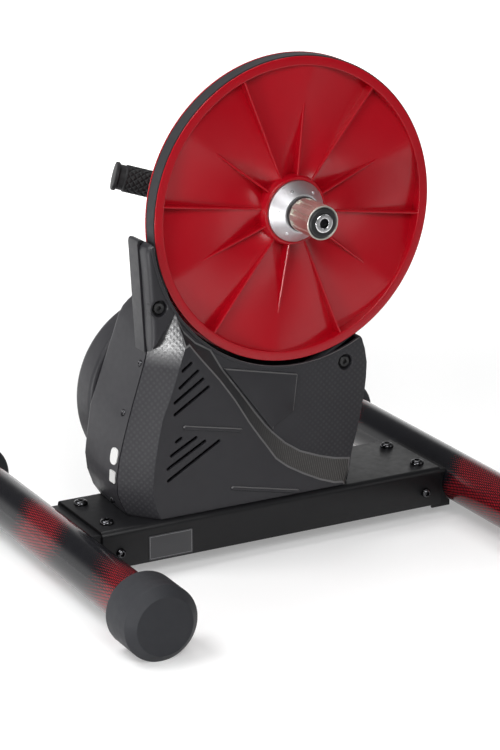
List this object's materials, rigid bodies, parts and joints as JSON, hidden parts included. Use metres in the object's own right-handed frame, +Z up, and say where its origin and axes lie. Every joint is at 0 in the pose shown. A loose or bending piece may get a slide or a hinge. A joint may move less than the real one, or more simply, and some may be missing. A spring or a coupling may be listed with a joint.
{
  "type": "direct drive bike trainer",
  "caption": "Direct drive bike trainer: steel beam on round legs, red belt-driven disc with a splined freehub, flywheel, dark two-part housing and a carry handle.",
  "frame": {"origin": "middle of the footprint, on the floor", "axes": "+X along the beam towards the front of the bicycle, -Y the drive side with the freehub, +Z up"},
  "size_m": [0.509, 0.488, 0.4915],
  "materials": {
    "frame_black": "satin black paint on steel",
    "leg_gloss": "gloss black with a printed pattern",
    "foot_rubber": "matt grey rubber",
    "bolt_black": "black oxide",
    "zinc_steel": "zinc plated or ground",
    "label_grey": "plain dark plate, blank",
    "cast_alloy": "black coated casting",
    "grip_rubber": "moulded grip",
    "end_polish": "polished",
    "disc_red": "satin red moulding",
    "pulley_alloy": "turned",
    "flange_alloy": "turned bright",
    "freehub_alloy": "hard anodised, warm grey",
    "ring_black": "black",
    "belt_rubber": "ribbed drive belt, dark grey back",
    "idler_black": "moulded",
    "flywheel_iron": "machined iron",
    "coil_copper": "enamelled winding",
    "board_green": "circuit board",
    "inlet_black": "moulded",
    "window_white": "white diffuser",
    "cover_white": "white cover",
    "housing": "grained graphite plastic with printed weave areas"
  },
  "bodies": {
    "stand": {"base_beam": "frame_black", "rear_leg_bracket": "frame_black", "front_leg_bracket": "frame_black", "handle_bar": "frame_black", "rear_leg_tube": "leg_gloss", "front_leg_tube": "leg_gloss", "foot_cap_rear_drive": "foot_rubber", "foot_cap_rear_off": "foot_rubber", "foot_cap_front_drive": "foot_rubber", "foot_cap_front_off": "foot_rubber", "leg_bolt_rear_drive": "bolt_black", "leg_bolt_rear_off": "bolt_black", "leg_bolt_front_drive": "bolt_black", "leg_bolt_front_off": "bolt_black", "leg_cross_bolt_rear": "bolt_black", "leg_cross_bolt_front": "bolt_black", "shell_bolt_upper": "bolt_black", "shell_bolt_right": "bolt_black", "side_screw_upper": "bolt_black", "side_screw_middle": "bolt_black", "side_screw_lower": "bolt_black", "tensioner_pivot_bolt": "bolt_black", "upright_bolt_rear_drive": "zinc_steel", "upright_bolt_rear_off": "zinc_steel", "upright_bolt_front_drive": "zinc_steel", "upright_bolt_front_off": "zinc_steel", "main_axle": "zinc_steel", "rating_plate": "label_grey", "upright_frame": "cast_alloy", "handle_grip": "grip_rubber", "drive_end_cap": "end_polish", "off_end_cap": "end_polish", "drive_belt": "belt_rubber", "brake_core": "flywheel_iron", "brake_coil_1": "coil_copper", "brake_coil_2": "coil_copper", "brake_coil_3": "coil_copper", "control_board": "board_green", "power_inlet": "inlet_black", "status_window": "window_white", "port_cover": "cover_white", "front_shell": "housing", "rear_shell": "housing", "flywheel_cover": "housing"},
    "flywheel_group": {"flywheel": "flywheel_iron", "flywheel_shaft": "zinc_steel", "small_pulley": "pulley_alloy", "shaft_bearing_front": "zinc_steel", "shaft_bearing_back": "zinc_steel"},
    "disc_group": {"large_pulley": "disc_red", "hub_flange": "flange_alloy", "hub_bearing_front": "zinc_steel", "hub_bearing_back": "zinc_steel"},
    "freehub": {"freehub_body": "freehub_alloy", "freehub_foot_ring": "ring_black", "freehub_seal": "ring_black", "freehub_bearing": "zinc_steel"},
    "tension_arm": {"tensioner_arm": "zinc_steel", "tensioner_pin": "zinc_steel"},
    "tension_wheel": {"tensioner_wheel": "idler_black"}
  },
  "joints": [
    {"name": "flywheel_spin", "type": "hinge", "parent": "stand", "child": "flywheel_group", "pos_m": [-0.0525, 0, 0.1423], "axis": [0, 1, 0], "continuous": true},
    {"name": "disc_spin", "type": "hinge", "parent": "stand", "child": "disc_group", "pos_m": [0.03, 0, 0.34], "axis": [0, 1, 0], "continuous": true},
    {"name": "freehub_spin", "type": "hinge", "parent": "disc_group", "child": "freehub", "pos_m": [0.03, -0.07, 0.34], "axis": [0, 1, 0], "continuous": true},
    {"name": "tensioner_swing", "type": "hinge", "parent": "stand", "child": "tension_arm", "pos_m": [0.0025, -0.0115, 0.13328], "axis": [0, 1, 0], "range_deg": [0, 14], "stiffness_Nm_per_rad": 4},
    {"name": "tensioner_wheel_spin", "type": "hinge", "parent": "tension_arm", "child": "tension_wheel", "pos_m": [0.03888, -0.0253, 0.15428], "axis": [0, 1, 0], "continuous": true}
  ],
  "couplings": [
    {"joint": "disc_spin", "follows": "flywheel_spin", "ratio": 0.13043},
    {"joint": "tensioner_wheel_spin", "follows": "flywheel_spin", "ratio": -1.2342}
  ]
}
